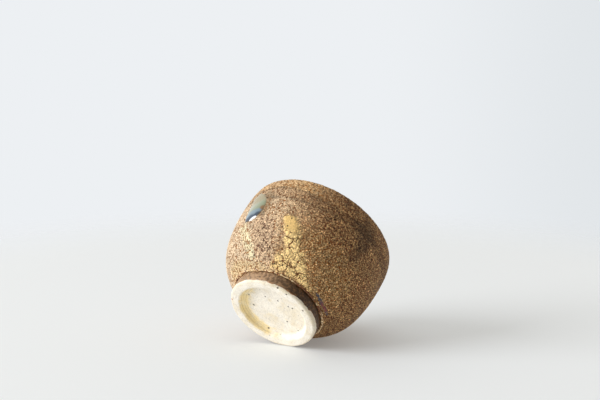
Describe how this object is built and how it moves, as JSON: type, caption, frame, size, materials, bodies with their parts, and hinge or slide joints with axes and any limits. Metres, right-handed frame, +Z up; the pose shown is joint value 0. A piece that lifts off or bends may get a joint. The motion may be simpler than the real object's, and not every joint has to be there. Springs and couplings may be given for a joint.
{
  "type": "sake cup",
  "caption": "Small hand-thrown ceramic sake cup on a turned foot of bare clay, with a crackled brown glaze outside and a glossy glaze inside.",
  "frame": {"origin": "centre of the ring that the cup stands on, at the table's surface", "axes": "+Z up the cup's axis from the foot to the lip; -Y towards the side with the ochre run; +X to the right of it"},
  "size_m": [0.0599, 0.0598, 0.0433],
  "materials": {
    "bowl_clay": "matte, fired cream stoneware clay",
    "foot_clay": "matte, bare cream clay with fine dark specks",
    "outer_glaze": "matte, granular brown glaze with fine crackle and pinholes",
    "inner_glaze": "glossy, olive to blue-green glass pooled at the floor",
    "foot_glaze": "satin, thin dark brown",
    "hip_roll": "satin, thick yellow glaze drawn back in a roll",
    "glass_drip": "glossy, blue to green glass with an amber edge",
    "ochre_run": "satin, crackled yellow ochre",
    "blue_streak": "satin, blue-grey with a rust red end"
  },
  "bodies": {
    "root": {"bowl": "bowl_clay", "foot": "foot_clay", "outer_glaze": "outer_glaze", "inner_glaze": "inner_glaze", "foot_glaze": "foot_glaze", "hip_roll": "hip_roll", "glass_drip": "glass_drip", "ochre_run": "ochre_run", "blue_streak": "blue_streak"}
  },
  "joints": []
}
